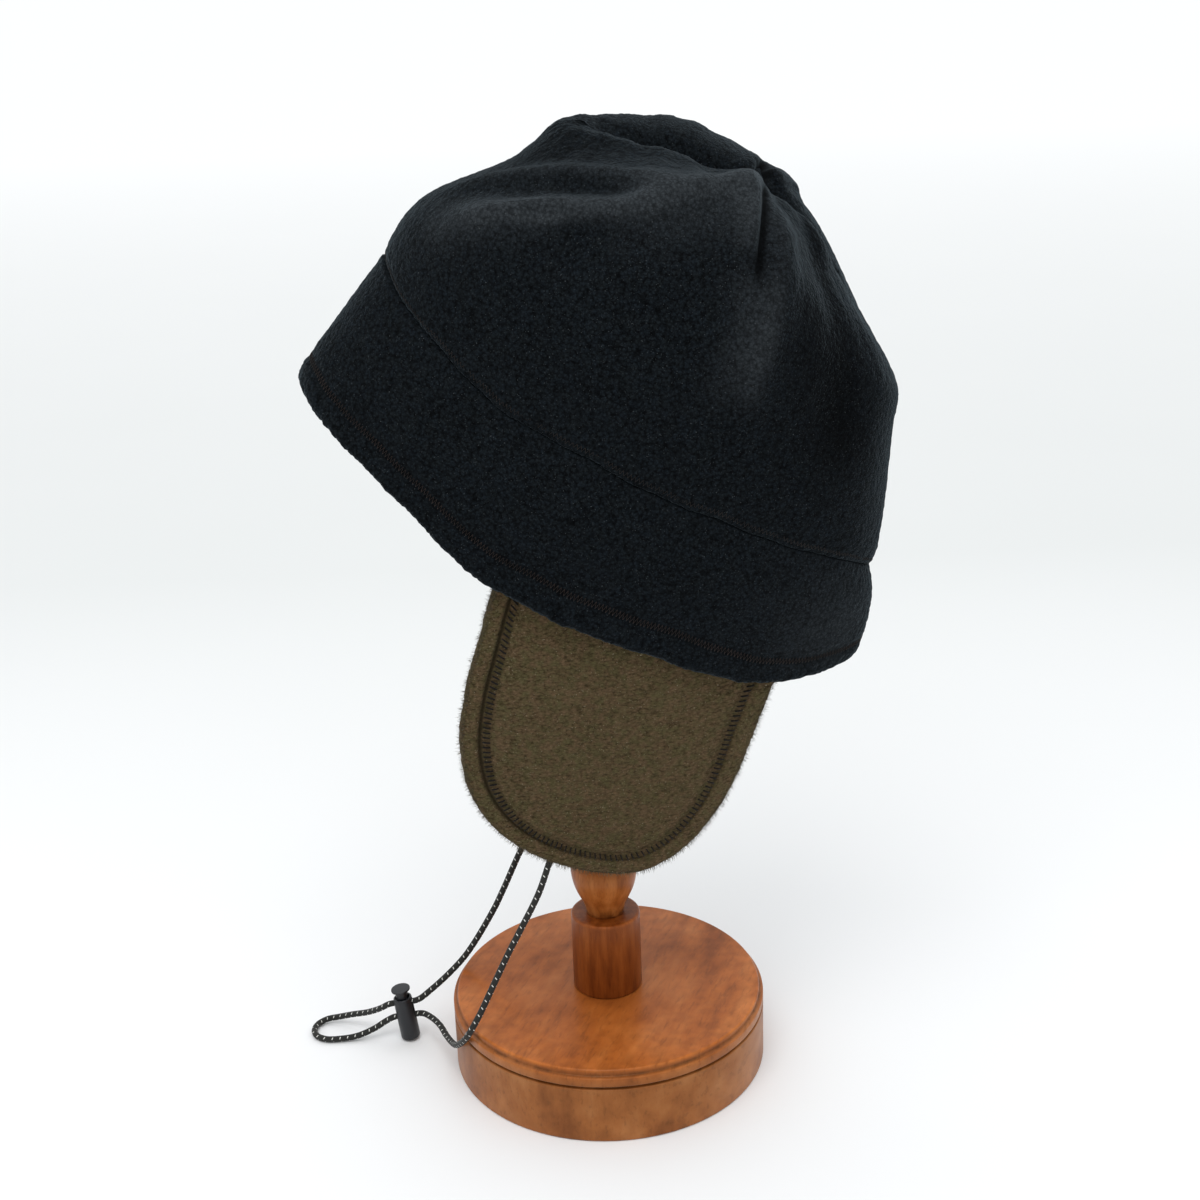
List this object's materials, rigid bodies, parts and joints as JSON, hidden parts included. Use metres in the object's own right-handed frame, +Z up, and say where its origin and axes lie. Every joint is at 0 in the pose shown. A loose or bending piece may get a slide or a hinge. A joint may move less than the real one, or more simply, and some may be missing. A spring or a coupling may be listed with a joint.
{
  "type": "fleece beanie with ear flaps and chin cord, on a wooden hat stand",
  "caption": "Soft fleece hat with a wide band, hanging ear flaps and an elastic chin cord with a barrel lock, held up by a turned wooden hat stand.",
  "frame": {"origin": "centre of the stand's underside", "axes": "+Z up, the hat's front towards -X, the wearer's left side towards -Y"},
  "size_m": [0.2831, 0.15, 0.4439],
  "materials": {
    "wood": "stained and lacquered, satin",
    "black_fleece": "napped fleece",
    "olive_fleece": "napped fleece",
    "elastic_cord": "braided, with pale flecks",
    "black_plastic": "moulded"
  },
  "bodies": {
    "hat_on_stand": {"stand_base": "wood", "stand_socket": "wood", "stand_post": "wood", "crown_left": "black_fleece", "crown_right": "black_fleece", "band": "black_fleece", "ear_flap_left": "olive_fleece", "ear_flap_right": "olive_fleece", "chin_cord": "elastic_cord", "cord_lock_barrel": "black_plastic"},
    "lock_button": {"cord_lock_button": "black_plastic"}
  },
  "joints": [
    {"name": "lock_button_press", "type": "slide", "parent": "hat_on_stand", "child": "lock_button", "axis": [0.1219, 0, -0.9925], "range_m": [0, 0.003], "stiffness_N_per_m": 600, "springref_m": -0.003}
  ]
}
